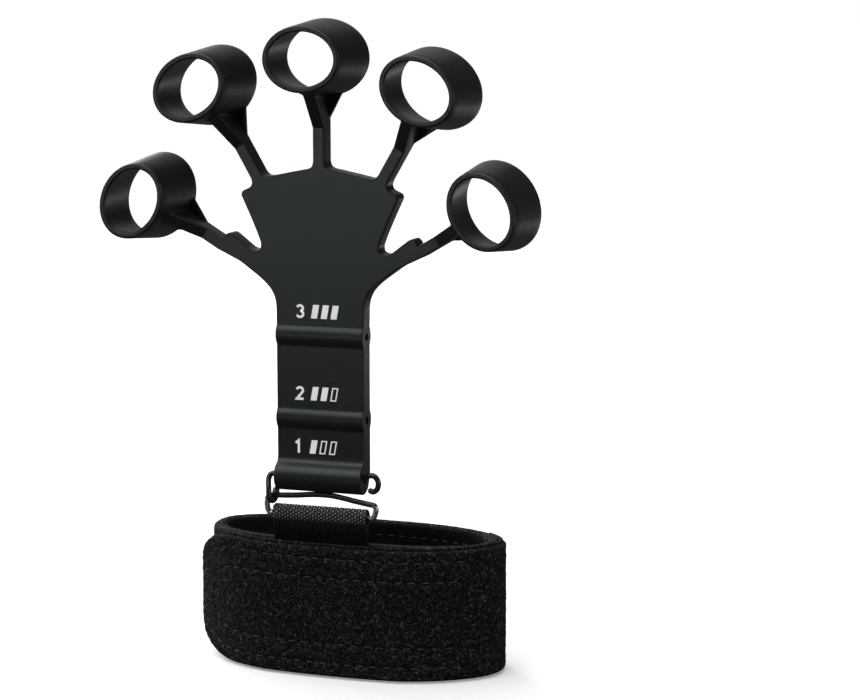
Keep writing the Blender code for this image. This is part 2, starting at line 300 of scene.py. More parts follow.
def silicone_material():
    n = Nodes("silicone_black")
    patch = n.noise(0.09, 3.0)
    grain = n.noise(7.0, 3.0, 0.6)
    cloud = n.noise(0.9, 4.0, 0.6)
    speck = n.ramp(n.voronoi(0.75), 0.05, 0.10, 1.0, 0.0)
    some = n.ramp(n.noise(0.35, 1.0), 0.60, 0.68)
    dust = n.math("MULTIPLY", speck, some)
    color = n.mix(patch, (0.0075, 0.0082, 0.0088), (0.0125, 0.0135, 0.014))
    color = n.mix(n.math("MULTIPLY", dust, 0.35), color, (0.09, 0.09, 0.09))
    rough = n.math("ADD", n.ramp(cloud, 0.3, 0.7, 0.36, 0.46), n.math("MULTIPLY", dust, 0.2))
    wavy = n.bump(cloud, 0.10, 0.10)
    normal = n.bump(grain, 0.22, 0.03, wavy)
    return n.finish(Base_Color=color, Roughness=rough, Normal=normal, Specular_IOR_Level=0.46,
                    Specular_Tint=(0.87, 1.0, 0.965, 1.0))


def print_material():
    n = Nodes("level_print_white_glowing")
    worn = n.ramp(n.noise(2.2, 5.0, 0.7), 0.28, 0.40)
    color = n.mix(worn, (0.42, 0.43, 0.43), (0.86, 0.87, 0.87))
    normal = n.bump(n.noise(9.0, 2.0), 0.2, 0.02)
    # Painted light: the print also glows with its own colour, which keeps the white marks bright.
    return n.finish(Base_Color=color, Roughness=n.ramp(worn, 0.0, 1.0, 0.6, 0.42), Normal=normal,
                    Emission_Color=color, Emission_Strength=0.34)


def wire_material(name, bare_from, bare_to, seed):
    """Black-coated steel; the coating is worn away where |x| passes the given distances."""
    n = Nodes(name)
    x = n.math("ABSOLUTE", n.axis("X"))
    place = n.add("ShaderNodeVectorMath", operation="ADD")
    n.put(place.inputs[0], n.place)
    place.inputs[1].default_value = (seed, seed * 0.7, 0.0)
    chips = n.noise(1.3, 5.0, 0.65, 0.4, place.outputs[0])
    reach = n.math("MULTIPLY", n.ramp(x, bare_from, bare_to), n.ramp(n.axis("Z"), 52.6, 53.8, 1.0, 0.0))
    bare = n.ramp(n.math("ADD", n.math("MULTIPLY", reach, 0.62), n.math("MULTIPLY", chips, 0.75)), 0.60, 0.70)
    scratch = n.noise(4.0, 3.0, 0.6, 1.5)
    steel = n.mix(scratch, (0.42, 0.42, 0.43), (0.72, 0.72, 0.73))
    coat = n.mix(chips, (0.008, 0.008, 0.009), (0.022, 0.022, 0.024))
    rough = n.math("ADD", n.ramp(scratch, 0.3, 0.7, 0.16, 0.32), n.math("MULTIPLY", bare, 0.04))
    edge = n.bump(bare, 0.5, -0.04)
    normal = n.bump(scratch, 0.15, 0.02, edge)
    return n.finish(Base_Color=n.mix(bare, coat, steel), Metallic=bare, Roughness=rough, Normal=normal,
                    Specular_IOR_Level=0.55)


def webbing_material():
    n = Nodes("webbing_twill")
    fibre = n.noise(9.0, 3.0, 0.6)
    stretch = n.add("ShaderNodeVectorMath", operation="MULTIPLY")
    n.put(stretch.inputs[0], n.place)
    stretch.inputs[1].default_value = (16.0, 2.0, 2.0)
    thread = n.noise(1.0, 2.0, 0.5, 0.0, stretch.outputs[0])
    patch = n.noise(0.5, 2.0)
    # Painted light and shade: the ramp over height on the next line is 1 at the top of the fold and 0 lower down.
    # The tape gets a pale painted lit tone at the top and a dark painted shade below, as if under the flap's shadow.
    # The same ramp lowers the specular level towards the bottom.
    painted_top_light = n.ramp(n.axis("Z"), 43.6, 49.4)
    # The two tones below are one tape painted in shade (dark) and in light (pale).
    dark = n.mix(fibre, (0.0015, 0.0016, 0.0016), (0.0045, 0.0048, 0.005))
    pale = n.mix(fibre, (0.055, 0.0555, 0.056), (0.19, 0.192, 0.194))
    relief = n.add("ShaderNodeAttribute", attribute_name="relief").outputs["Fac"]
    # Painted shade in the weave: raised threads take the pale lit tone and the hollows between them are painted
    # dark.
    raised = n.ramp(relief, 0.42, 0.95)
    color = n.mix(n.math("MULTIPLY", painted_top_light, n.ramp(raised, 0.0, 1.0, 0.12, 1.0)), dark, pale)
    # Painted highlight: bright glints on the raised threads near the top of the fold.
    glint = n.math("MULTIPLY", n.math("MULTIPLY", n.ramp(relief, 0.68, 0.95), painted_top_light), n.ramp(thread, 0.35, 0.65))
    color = n.mix(glint, color, (0.52, 0.523, 0.526))
    normal = n.bump(thread, 0.5, 0.05, n.bump(fibre, 0.3, 0.04))
    return n.finish(Base_Color=color, Roughness=n.ramp(patch, 0.3, 0.7, 0.34, 0.46), Normal=normal,
                    Specular_IOR_Level=n.ramp(painted_top_light, 0.0, 1.0, 0.15, 0.6))


def pile_material():
    """Unbroken loop pile: curled worm-like loops with pale tips over dark gaps."""
    n = Nodes("loop_pile_black")
    worm = n.noise(0.82, 1.0, 0.4, 0.7)
    away = n.math("ABSOLUTE", n.math("SUBTRACT", worm, 0.5))
    ridge = n.ramp(away, 0.01, 0.10, 1.0, 0.0)
    blob = n.ramp(n.noise(1.4, 1.0), 0.38, 0.56)
    fine = n.noise(7.0, 3.0, 0.6)
    loops = n.math("MULTIPLY", ridge, n.ramp(blob, 0.0, 1.0, 0.45, 1.0))
    broad = n.noise(0.05, 3.0, 0.6)
    tips = n.math("MULTIPLY", n.ramp(loops, 0.70, 1.0), n.ramp(n.noise(0.9, 1.0), 0.44, 0.58))
    color = n.mix(loops, (0.0008, 0.0009, 0.0009), n.mix(broad, (0.018, 0.0188, 0.019), (0.034, 0.035, 0.036)))
    color = n.mix(n.math("MULTIPLY", tips, 0.8), color, (0.11, 0.113, 0.115))
    height = n.math("ADD", n.math("MULTIPLY", loops, 0.9), n.math("MULTIPLY", fine, 0.25))
    normal = n.bump(height, 1.0, 0.38)
    return n.finish(Base_Color=color, Roughness=0.9, Normal=normal, Specular_IOR_Level=0.15,
                    Sheen_Weight=0.03, Sheen_Roughness=0.6)


def foam_material():
    n = Nodes("foam_charcoal")
    cells = n.voronoi(3.2)
    color = n.mix(cells, (0.045, 0.045, 0.046), (0.018, 0.018, 0.019))
    normal = n.bump(n.math("MULTIPLY", cells, -1.0), 0.8, 0.2)
    return n.finish(Base_Color=color, Roughness=0.9, Normal=normal, Specular_IOR_Level=0.25)


def lining_material():
    """Smooth knitted lining with a fine grain."""
    n = Nodes("lining_knit")
    fine = n.noise(4.5, 3.0, 0.65)
    knit = n.voronoi(2.6)
    weave = n.math("ADD", n.math("MULTIPLY", knit, 0.5), fine)
    broad = n.noise(0.07, 3.0, 0.6)
    color = n.mix(n.ramp(weave, 0.4, 1.1), (0.0014, 0.0015, 0.0016), (0.0058, 0.006, 0.0062))
    color = n.mix(n.ramp(broad, 0.35, 0.7, 0.0, 0.45), color, (0.008, 0.0083, 0.0085))
    normal = n.bump(weave, 0.7, 0.16)
    return n.finish(Base_Color=color, Roughness=0.8, Normal=normal, Specular_IOR_Level=0.18, Sheen_Weight=0.02)


def thread_material():
    n = Nodes("sewing_thread")
    twist = n.noise(6.0, 2.0, 0.5, 1.0)
    color = n.mix(twist, (0.018, 0.019, 0.020), (0.075, 0.077, 0.078))
    return n.finish(Base_Color=color, Roughness=0.7, Normal=n.bump(twist, 0.6, 0.06), Sheen_Weight=0.2)


def hook_material():
    n = Nodes("hook_tape_nylon")
    grain = n.noise(4.0, 3.0)
    color = n.mix(grain, (0.008, 0.008, 0.009), (0.020, 0.020, 0.021))
    return n.finish(Base_Color=color, Roughness=n.ramp(grain, 0.3, 0.7, 0.35, 0.55),
                    Normal=n.bump(grain, 0.3, 0.05))


# ---------------------------------------------------------------- silicone moulding

def edge_profile():
    """(inset, depth) from the flat rim round to the side: one rounded edge."""
    angles = np.radians([0.0, 22.5, 45.0, 67.5, 90.0])
    profile = [(ROUND + SUPPORT, 0.0)]
    profile += [(ROUND * (1 - math.sin(a)), ROUND * (1 - math.cos(a))) for a in angles]
    return profile


def slab_profile(front, back):
    """(inset, depth) all the way from the front rim to the back rim."""
    edge = edge_profile()
    side = [(0.0, front + (back - front) * s) for s in (0.35, 0.65)]
    return ([(i, front + d) for i, d in edge] + side + [(i, back - d) for i, d in reversed(edge)])


def rounded_run(points, reach=1.3, share=0.42, steps=4):
    """The polyline with each inner corner replaced by a short curve; its ends stay put."""
    out = [points[0]]
    for before, here, after in zip(points, points[1:], points[2:]):
        before, here, after = (np.array(p, float) for p in (before, here, after))
        back, ahead = before - here, after - here
        cut = min(reach, share * np.linalg.norm(back), share * np.linalg.norm(ahead))
        a = here + back / np.linalg.norm(back) * cut
        b = here + ahead / np.linalg.norm(ahead) * cut
        for i in range(steps + 1):
            t = i / steps
            out.append(tuple((1 - t) ** 2 * a + 2 * t * (1 - t) * here + t * t * b))
    out.append(points[-1])
    return out


def directions(tilt):
    """Unit vectors along an arm and to its right, in the (x, z) plane."""
    a = math.radians(tilt)
    return np.array([math.sin(a), math.cos(a)]), np.array([math.cos(a), -math.sin(a)])


def root_corners(finger):
    _, cx, cz, tilt, root = finger
    along, right = directions(tilt)
    middle = np.array([cx, cz]) - along * root
    return tuple(middle + right * ARM_HALF), tuple(middle - right * ARM_HALF)


def plate_outline():
    """Outline points and the direction in which each moves when the outline is drawn in."""
    corner = (STEM_HALF, STEM_TOP)
    points, fixed = [], {}
    for run, finger in zip(PLATE_RUNS, (FINGERS[4], FINGERS[3], FINGERS[2])):
        right, left = root_corners(finger)
        points += rounded_run([corner] + run + [right])
        along, side = directions(finger[3])
        fixed[right] = -side
        fixed[left] = side
        corner = left
    fixed[(STEM_HALF, STEM_TOP)] = np.array([-1.0, 0.0])
    mirror = [(-x, z) for x, z in reversed(points)]
    for x, z in list(fixed):
        fixed[(-x, z)] = fixed[(x, z)] * (-1, 1)
    points += mirror
    inward = []
    for i, here in enumerate(points):
        if tuple(here) in fixed:
            inward.append(fixed[tuple(here)])
            continue
        a = np.array(here) - points[i - 1]
        b = np.array(points[(i + 1) % len(points)]) - here
        normals = [np.array([-v[1], v[0]]) / np.linalg.norm(v) for v in (a, b)]
        total = normals[0] + normals[1]
        inward.append(total / (1.0 + normals[0] @ normals[1]))
    return np.array(points), np.array(inward)


def slab(outline, inward, front, back):
    """A flat plate with rounded edges from an outline and its inward directions."""
    rings = []
    for inset, depth in slab_profile(front, back):
        flat = outline + inward * inset
        rings.append(np.column_stack([flat[:, 0], np.full(len(flat), depth), flat[:, 1]]))
    return loft(rings)


def palm(mat):
    points, faces = slab(*plate_outline(), 0.0, PLATE_BACK)
    obj = add_mesh("silicone_palm", points, faces, [mat])
    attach(obj, "palm")
    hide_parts("palm_plate")


def arc(place, start, end, steps):
    """Points on a sleeve's circle, with angles measured from +Y towards +Z."""
    y, z, radius = place
    angles = np.radians(np.linspace(start, end, steps))
    return [(y + radius * math.cos(a), z + radius * math.sin(a)) for a in angles]


def sleeve_arc(place, plane, steps=22):
    """The part of a sleeve's circle that stands proud of a plane, from low to high."""
    y, _, radius = place
    half = math.degrees(math.acos((plane - y) / radius))
    if plane > y:
        return arc(place, -half, half, steps)
    return arc(place, 360.0 - half, half, steps)


def resample(path, step, closed):
    path = np.array(path, float)
    if closed:
        path = np.vstack([path, path[:1]])
    walked = np.concatenate([[0.0], np.cumsum(np.linalg.norm(np.diff(path, axis=0), axis=1))])
    count = max(int(round(walked[-1] / step)), 4)
    at = np.linspace(0.0, walked[-1], count + 1)
    out = np.column_stack([np.interp(at, walked, path[:, k]) for k in range(path.shape[1])])
    return out[:-1] if closed else out


def stem_profile():
    """The stem's side profile as closed (y, z) points: up the back, over the top, down the front."""
    back = arc(LOW_SLEEVE, 250.0, 330.0, 12) + [(STEM_BACK, 62.5)]
    back += sleeve_arc(MID_SLEEVE, STEM_BACK) + sleeve_arc(HIGH_SLEEVE, STEM_BACK)
    back += [(STEM_BACK, 107.0), (PLATE_BACK, STEM_TOP), (PLATE_BACK, STEM_TOP + 4.0)]
    front = [(0.0, STEM_TOP + 4.0)]
    for place, blend in ((HIGH_SLEEVE, 0.5), (MID_SLEEVE, 0.5), (LOW_SLEEVE, 2.6)):
        y, z, radius = place
        rise = math.sqrt((radius + blend) ** 2 - (y + blend) ** 2)
        meet = math.degrees(math.atan2(rise, -y - blend))
        front += arc((-blend, z + rise, blend), 0.0, meet - 180.0, 8)
        if place is LOW_SLEEVE:
            front += arc(place, meet, 245.0, 44)[1:]
        else:
            front += arc(place, meet, 360.0 - meet, 22)[1:-1]
            front += arc((-blend, z - rise, blend), 180.0 - meet, 0.0, 8)
    path = resample(back + front, 0.22, True)
    for _ in range(3):
        path = (np.roll(path, 1, 0) + 2 * path + np.roll(path, -1, 0)) / 4
    return path


def inset_profile(path, amount):
    a = path - np.roll(path, 1, 0)
    b = np.roll(path, -1, 0) - path
    na = np.column_stack([-a[:, 1], a[:, 0]]) / np.linalg.norm(a, axis=1)[:, None]
    nb = np.column_stack([-b[:, 1], b[:, 0]]) / np.linalg.norm(b, axis=1)[:, None]
    total = na + nb
    return path + total / (1.0 + (na * nb).sum(1))[:, None] * amount


def stem_solid():
    """The whole stem as points and faces: its profile swept across with rounded side edges."""
    path = stem_profile()
    area = (path[:, 0] * np.roll(path[:, 1], -1) - path[:, 1] * np.roll(path[:, 0], -1)).sum()
    path = path if area > 0 else path[::-1]
    half = [(STEM_HALF - inset, depth) for inset, depth in edge_profile()]
    half.append((STEM_HALF, ROUND + SUPPORT))
    columns = [(-x, d) for x, d in reversed(half)] + half
    rings = []
    for x, depth in columns:
        flat = inset_profile(path, depth)
        rings.append(np.column_stack([np.full(len(flat), x), flat]))
    return loft(rings)


def cut_flat(part, height, keep_above):
    """The part of a solid above or below a height, closed with a flat face."""
    grid = bmesh.new()
    mesh = new_mesh("tmp", *part)
    grid.from_mesh(mesh)
    bpy.data.meshes.remove(mesh)
    geometry = list(grid.verts) + list(grid.edges) + list(grid.faces)
    done = bmesh.ops.bisect_plane(grid, geom=geometry, plane_co=(0, 0, height), plane_no=(0, 0, 1),
                                  clear_inner=keep_above, clear_outer=not keep_above)
    edges = [e for e in done["geom_cut"] if isinstance(e, bmesh.types.BMEdge)]
    bmesh.ops.contextual_create(grid, geom=edges)
    grid.verts.index_update()
    points = np.array([v.co for v in grid.verts])
    faces = [[v.index for v in f.verts] for f in grid.faces]
    grid.free()
    return points, faces


def drill(place):
    y, z, _ = place
    a = np.radians(np.arange(0, 360, 15))
    rings = []
    for x in (-STEM_HALF - 4.0, STEM_HALF + 4.0):
        rings.append(np.column_stack([np.full(len(a), x), y + HOLE_RADIUS * np.cos(a),
                                      z + HOLE_RADIUS * np.sin(a)]))
    return loft(rings)


def stem(mat):
    whole = stem_solid()
    lower = boolean(cut_flat(whole, STEM_SPLIT, False), [drill(LOW_SLEEVE), drill(MID_SLEEVE)], "DIFFERENCE")
    upper = cut_flat(cut_flat(whole, STEM_SPLIT, True), STEM_TOP, False)
    upper = boolean(upper, [drill(HIGH_SLEEVE)], "DIFFERENCE")
    low = add_mesh("silicone_stem_lower", *lower, [mat])
    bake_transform(low)
    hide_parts("stem_low", "stem_mid")
    high = add_mesh("silicone_stem_upper", *upper, [mat])
    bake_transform(high)
    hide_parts("stem_mid")


def bar_section(half, front, back):
    """Closed (u, y) section of an arm, matching the plate's rounded edges."""
    profile = slab_profile(front, back)
    side = [(half - inset, depth) for inset, depth in profile]
    return side + [(-u, y) for u, y in reversed(side)]


def loop_reach(depth):
    """Outer half size of the loop along the arm at a depth."""
    t = (depth - LOOP_FRONT) / (LOOP_BACK - LOOP_FRONT)
    return LOOP_HALF_FRONT[1] + (LOOP_HALF_BACK[1] - LOOP_HALF_FRONT[1]) * t


def fin():
    """Arm end and forward-sloping gusset, in the loop's own frame (u, y, w) with w along the arm."""
    slope = 8.0 / (NECK - 10.2)
    middle = loop_reach(-2.0)
    places = [22.2, 21.9, 21.6, 21.3, 21.0, 20.75, 20.52, 20.4, 20.28, 20.0, 19.6, 19.1, 18.6, 17.8, 16.6,
              15.2, 13.8, 12.6]
    places += [middle + gap for gap in (1.1, 0.8, 0.55, 0.35, 0.2, 0.1, 0.0, -0.9)]
    rings = []
    for place in places:
        k = min(max((NECK - place) / (NECK - middle), 0.0), 1.0)
        front = 0.0
        for _ in range(5):
            t = place + (loop_reach(front) - middle) * k
            front = -slope * max(NECK - t, 0.0)
        gap = max(place - middle, 0.0)
        flare = 0.0
        if gap < 0.8:
            flare = 0.7 * (1.0 - math.sqrt(1.0 - (1.0 - gap / 0.8) ** 2))
        ring = []
        for u, y in bar_section(ARM_HALF + flare, front - flare * 0.7, PLATE_BACK):
            t = place + (loop_reach(y) - middle) * k
            ring.append((u, y, -t))
        rings.append(ring)
    return loft(rings)


def web():
    """Thin triangular web on the back plane, between the fin and the loop."""
    outline = [(1.2, -18.4), (1.75, -17.6), (3.1, -15.1), (4.6, -12.3), (6.2, -9.35), (3.2, -10.0),
               (0.0, -10.4), (-3.2, -10.0), (-6.2, -9.35), (-4.6, -12.3), (-3.1, -15.1), (-1.75, -17.6),
               (-1.2, -18.4)]
    outline = np.array(outline[::-1])
    count = len(outline)
    rings = []
    for inset, depth in ((0.28, 4.75), (0.08, 4.85), (0.0, 5.05), (0.0, 5.95), (0.08, 6.17), (0.28, 6.26)):
        scale = 1.0 - inset / 5.0
        rings.append([(u * scale, depth, w) for u, w in outline])
    assert len(rings[0]) == count
    return loft(rings)


def tube():
    """The tapered oval tube with rounded rims, in the loop's own frame."""
    rim = 0.62
    turns = np.radians(np.linspace(0.0, 90.0, 6))
    front = [(rim * (1 - math.sin(a)), rim * (1 - math.cos(a))) for a in turns]
    outer = [(inset, LOOP_FRONT + d) for inset, d in front]
    outer += [(0.0, LOOP_FRONT + (LOOP_BACK - LOOP_FRONT) * s) for s in (0.2, 0.4, 0.6, 0.8)]
    outer += [(inset, LOOP_BACK - d) for inset, d in reversed(front)]
    profile = outer + [(LOOP_WALL - inset, y) for inset, y in reversed(outer)]
    angles = np.radians(np.arange(0, 360, 5))
    rings = []
    for inset, y in profile:
        t = (y - LOOP_FRONT) / (LOOP_BACK - LOOP_FRONT)
        across = LOOP_HALF_FRONT[0] + (LOOP_HALF_BACK[0] - LOOP_HALF_FRONT[0]) * t - inset
        along = loop_reach(y) - inset
        rings.append(np.column_stack([across * np.cos(angles), np.full(len(angles), y), along * np.sin(angles)]))
    return loft(rings, close_rows=True)


def to_hand(points, finger):
    """From a loop's own frame to the moulding's."""
    _, cx, cz, tilt, _ = finger
    along, right = directions(tilt)
    flat = np.array([cx, cz]) + np.outer(points[:, 0], right) + np.outer(points[:, 2], along)
    return np.column_stack([flat[:, 0], points[:, 1], flat[:, 1]])


def fingers(mat):
    loop_points, loop_faces = boolean(tube(), [fin(), web()], "UNION")
    for finger in FINGERS:
        name, root = finger[0], finger[4]
        section = bar_section(ARM_HALF, 0.0, PLATE_BACK)
        rings = [[(u, y, -t) for u, y in section] for t in np.linspace(root, ARM_END, 13)]
        points, faces = loft(rings)
        arm = add_mesh("silicone_arm_" + name, to_hand(points, finger), faces, [mat])
        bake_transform(arm)
        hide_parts("arm_" + name)
        loop = add_mesh("silicone_loop_" + name, to_hand(loop_points, finger), loop_faces, [mat], 30.0)
        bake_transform(loop)
        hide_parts("loop_" + name)


# ---------------------------------------------------------------- printed level marks

def raised(outlines, name, mat):
    """Thin printed shapes on the moulding's face from (x, z) outlines."""
    points, faces = [], []
    for outline in outlines:
        start, count = len(points), len(outline)
        points += [(x, 0.03, z) for x, z in outline] + [(x, -0.045, z) for x, z in outline]
        faces.append(list(range(start, start + count)))
        faces.append(list(range(start + count, start + 2 * count)))
        for i in range(count):
            j = (i + 1) % count
            faces.append([start + i, start + j, start + count + j, start + count + i])
    obj = add_mesh(name, points, faces, [mat])
    return obj


def stroke(path, width):
    """Outline of an open pen stroke with mitred joints and flat ends."""
    path = np.array(path, float)
    left, right = [], []
    for i, here in enumerate(path):
        a = here - path[i - 1] if i > 0 else path[1] - here
        b = path[i + 1] - here if i < len(path) - 1 else here - path[i - 1]
        na = np.array([-a[1], a[0]]) / np.linalg.norm(a)
        nb = np.array([-b[1], b[0]]) / np.linalg.norm(b)
        off = (na + nb) / (1.0 + na @ nb) * width / 2
        left.append(tuple(here + off))
        right.append(tuple(here - off))
    return left + right[::-1]


def ellipse_path(cx, cz, rx, rz, start, end, steps):
    angles = np.radians(np.linspace(start, end, steps))
    return [(cx + rx * math.cos(a), cz + rz * math.sin(a)) for a in angles]


def digit_strokes(digit):
    """Generic numerals drawn with a pen, one unit high."""
    if digit == 1:
        return [[(0.12, 0.74), (0.36, 0.93), (0.36, 0.0)]]
    if digit == 2:
        top = ellipse_path(0.36, 0.70, 0.24, 0.22, 165.0, -35.0, 14)
        return [top + [(0.13, 0.075), (0.64, 0.075)]]
    top = ellipse_path(0.35, 0.715, 0.23, 0.205, 160.0, -80.0, 14)
    low = ellipse_path(0.35, 0.30, 0.25, 0.225, 80.0, -160.0, 15)
    return [top, low]


def level_mark(level, left, low, mat):
    """A numeral and as many bars as the level, out of three; the rest are outlines."""
    height, outlines = 4.1, []
    for path in digit_strokes(level):
        outlines.append(stroke([(left + x * height, low + z * height) for x, z in path], 0.72))
    for i in range(3):
        x = left + 4.9 + i * 3.1
        lean, width = 0.75, 1.9
        box = [(x, low), (x + width, low), (x + width + lean, low + height), (x + lean, low + height)]
        if i < level:
            outlines.append(box)
        else:
            edge = 0.34
            inner = [(x + edge * 1.3, low + edge), (x + width - edge * 0.85, low + edge),
                     (x + width + lean - edge * 1.3, low + height - edge),
                     (x + lean + edge * 0.85, low + height - edge)]
            for k in range(4):
                j = (k + 1) % 4
                outlines.append([box[k], box[j], inner[j], inner[k]])
    return raised(outlines, f"level_mark_{level}", mat)


def level_marks(mat):
    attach(level_mark(3, -7.6, 108.9, mat), "palm")
    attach(level_mark(2, -7.9, 84.15, mat), "stem_mid")
    low = level_mark(1, -8.4, 67.9, mat)
    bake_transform(low)


# ---------------------------------------------------------------- wire buckle

def spline(knots, steps):
    """Catmull-Rom points through the knots, ends included."""
    p = np.array([knots[0]] + list(knots) + [knots[-1]], float)
    out = []
    for i in range(len(knots) - 1):
        for s in range(steps):
            t = s / steps
            a, b, c, d = p[i:i + 4]
            out.append(0.5 * (2 * b + (c - a) * t + (2 * a - 5 * b + 4 * c - d) * t * t
                              + (3 * b - a - 3 * c + d) * t ** 3))
    out.append(p[-1])
    return np.array(out)


def wire(path, radius, closed=False, sides=18):
    """Rings of a round wire along a path; open ends are domed."""
    path = np.array(path, float)
    count = len(path)
    side, frames = None, []
    for i in range(count):
        before = path[i - 1] if closed or i else path[0]
        after = path[(i + 1) % count] if closed or i < count - 1 else path[-1]
        tangent = (after - before) / np.linalg.norm(after - before)
        if side is None:
            side = np.cross(tangent, (0.3, 0.9, 0.2)) if not closed else np.array([0.0, 1.0, 0.0])
        side = side - tangent * (side @ tangent)
        side /= np.linalg.norm(side)
        frames.append((path[i], tangent, side, np.cross(tangent, side)))
    a = np.linspace(0.0, math.tau, sides, endpoint=False)[:, None]
    stations = [(f, 0.0, 1.0) for f in frames]
    if not closed:
        dome = [(math.sin(b), math.cos(b)) for b in np.radians([80.0, 60.0, 40.0, 20.0])]
        stations = ([(frames[0], -s * radius * 0.8, c) for s, c in dome] + stations
                    + [(frames[-1], s * radius * 0.8, c) for s, c in dome[::-1]])
    rings = [point + tangent * push + (np.cos(a) * u + np.sin(a) * v) * radius * shrink
             for (point, tangent, u, v), push, shrink in stations]
    return loft(rings, close_rows=closed)


def buckle_ring(mat):
    """Ring wire: straight lower bar, and an upper bar that bends down towards the right corner."""
    loop = [(14.2, RING_LOW - 0.1), (15.6, RING_LOW - 0.6), (16.8, RING_LOW - 0.1), (17.4, RING_LOW + 1.3),
            (17.6, RING_LOW + 2.4), (17.1, RING_HIGH - 1.2), (15.6, RING_HIGH - 0.9), (11.0, RING_HIGH - 0.2),
            (6.5, RING_HIGH + 0.6), (2.5, RING_HIGH + 1.05), (-2.5, RING_HIGH + 0.95), (-8.0, RING_HIGH + 0.4),
            (-12.5, RING_HIGH + 0.1), (-15.4, RING_HIGH + 0.0), (-16.8, RING_HIGH - 0.5),
            (-17.3, RING_HIGH - 1.8), (-17.3, RING_LOW + 1.2), (-16.9, RING_LOW - 0.2), (-15.8, RING_LOW - 0.9),
            (-14.2, RING_LOW - 0.3), (-10.0, RING_LOW), (-5.0, RING_LOW), (0.0, RING_LOW), (5.0, RING_LOW),
            (10.0, RING_LOW)]
    loop = [(x, 0.0, z) for x, z in loop]
    path = spline([loop[-1]] + loop + [loop[0]], 4)[4:-5]
    points, faces = wire(path, WIRE, closed=True)
    obj = add_mesh("buckle_ring_wire", points, faces, [mat])
    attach(obj, "ring")
    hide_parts("buckle_ring")


def latch(mat):
    """Bar through the lowest sleeve, an eye round the ring's left end, a hook on the right."""
    y, z, _ = LOW_SLEEVE
    eye = []
    for angle in np.linspace(505.0, 185.0, 12):
        a = math.radians(angle)
        eye.append((-16.05 + 0.0058 * (angle - 180.0), 1.86 * math.cos(a), RING_HIGH + 0.05 + 1.86 * math.sin(a)))
    leg = [(-16.2, -1.55, 56.3), (-16.55, -0.8, 57.9), (-16.75, -0.1, 59.3), (-16.3, 0.5, 60.6),
           (-15.1, y, z + 0.25), (-13.2, y, z)]
    hook = [(13.2, y, z), (14.3, y, z + 0.75), (15.5, y, z + 1.5), (16.9, y, z + 1.3), (17.9, y, z + 0.1),
            (18.1, y, z - 1.4), (17.5, y, z - 2.8), (16.4, y, z - 3.4), (15.5, y, z - 3.1)]
    path = np.vstack([spline(eye + leg, 5), spline(hook, 6)])
    points, faces = wire(path, WIRE)
    obj = add_mesh("latch_wire_form", points, faces, [mat])
    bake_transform(obj)
    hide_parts("latch_wire")


# ---------------------------------------------------------------- webbing

def webbing(mat):
    """One tape folded round the ring's lower bar: both plies run down between band and flap."""
    ply = WEB_THICK / 2 + 0.03
    turn = WIRE + 0.25 + WEB_THICK / 2
    knots = [(-ply, WEB_TAIL), (-ply, 30.0), (-ply, 38.5), (-ply, 42.0), (-ply - 0.02, 44.5),
             (-ply - 0.2, 46.3), (-turn + 0.25, 48.0)]
    over = [(-turn * math.cos(a), RING_LOW + turn * math.sin(a)) for a in np.radians(np.linspace(0, 180, 15))]
    path = spline([(y, z, 0.0) for y, z in knots + over + [(-y, z) for y, z in knots[::-1]]], 6)[:, :2]
    dense = resample(path, 0.125, False)
    visible = dense[:, 1] > 39.0
    keep = visible | (np.arange(len(dense)) % 5 == 0)
    keep[[0, -1]] = True
    walked = np.concatenate([[0.0], np.cumsum(np.linalg.norm(np.diff(dense, axis=0), axis=1))])
    dense, walked = dense[keep], walked[keep]
    middle = walked[-1] / 2
    tangent = np.gradient(dense, axis=0)
    tangent /= np.linalg.norm(tangent, axis=1)[:, None]
    normal = np.column_stack([-tangent[:, 1], tangent[:, 0]])
    across = 5 * WEB_RIBS
    u = np.linspace(-1.0, 1.0, across + 1)
    rib = (u + 1.0) / 2 * WEB_RIBS
    phase = np.floor(np.clip(rib, 0, WEB_RIBS - 0.001)) % 2
    ridge = np.abs(np.sin(np.pi * rib)) ** 0.6
    s = (walked - middle)[:, None]
    twill = 0.5 + 0.5 * np.cos(math.tau * (s / 1.0 + 0.5 * phase[None, :]))
    top_rows = 1.0 - smoothstep(np.abs(s), 3.4, 5.6)
    rows = 0.5 + 0.5 * np.cos(math.tau * s / 0.78)
    deep = ridge[None, :] * (0.26 + top_rows * (0.38 * twill - 0.12) + (1 - top_rows) * (0.08 * twill + 0.03 * rows))
    height = deep - 0.36 + 0.012 * fuzz(deep.shape)
    edge = 0.10 * np.sin(walked * math.tau / 1.55) + 0.05 * rng.standard_normal(len(walked))
    rings = []
    half_thick = WEB_THICK / 2
    for i in range(len(dense)):
        width = WEB_HALF - 0.15 + edge[i] * 0.5
        out = [(x * width, *(dense[i] + normal[i] * (half_thick + h))) for x, h in zip(u, height[i])]
        rim = [(width + 0.12, *(dense[i] + normal[i] * half_thick * k)) for k in (0.45, -0.45)]
        inner = [(x * width, *(dense[i] - normal[i] * (half_thick - 0.03))) for x in u[::-1][::5]]
        rim2 = [(-width - 0.12, *(dense[i] + normal[i] * half_thick * k)) for k in (-0.45, 0.45)]
        rings.append(out + rim + inner + rim2)
    points, faces = loft(rings)
    obj = add_mesh("webbing_tape", points, faces, [mat], 60.0)
    # The relief attribute is also read by the tape's material, which paints shade into the hollows and light onto
    # the raised threads.
    relief = np.zeros((len(rings), len(rings[0])), np.float32)
    relief[:, :across + 1] = (height - height.min()) / (height.max() - height.min())
    obj.data.attributes.new("relief", "FLOAT", "POINT").data.foreach_set("value", relief.ravel())
    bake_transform(obj)
    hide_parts("webbing_loop", "webbing_tail")


# ---------------------------------------------------------------- wrist strap

